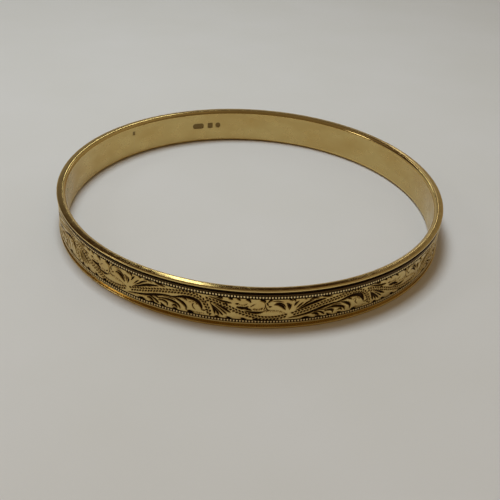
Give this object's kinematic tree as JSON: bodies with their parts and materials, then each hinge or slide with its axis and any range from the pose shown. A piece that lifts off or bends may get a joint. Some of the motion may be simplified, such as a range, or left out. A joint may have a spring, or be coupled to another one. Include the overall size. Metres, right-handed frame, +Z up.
{
  "type": "bangle bracelet",
  "caption": "Closed round slip-on bangle with rounded plain rims, milgrain edges, an engraved scrollwork outside and a smooth wrist side.",
  "frame": {"origin": "centre of the bore, on the surface that the bangle stands on", "axes": "+Z up along the bore; the middle of the engraving's front faces -Y"},
  "size_m": [0.066, 0.066, 0.0066],
  "materials": {
    "rim_gold": "polished",
    "liner_gold": "satin",
    "engraved_gold": "engraved, dark in the recesses",
    "milgrain_gold": "bright beads",
    "solder": "satin"
  },
  "bodies": {
    "root": {"lower_rim": "rim_gold", "upper_rim": "rim_gold", "inner_liner": "liner_gold", "liner_solder_seam": "solder", "engraved_strip": "engraved_gold", "strip_solder_seam": "solder", "lower_milgrain_wire": "milgrain_gold", "upper_milgrain_wire": "milgrain_gold"}
  },
  "joints": []
}
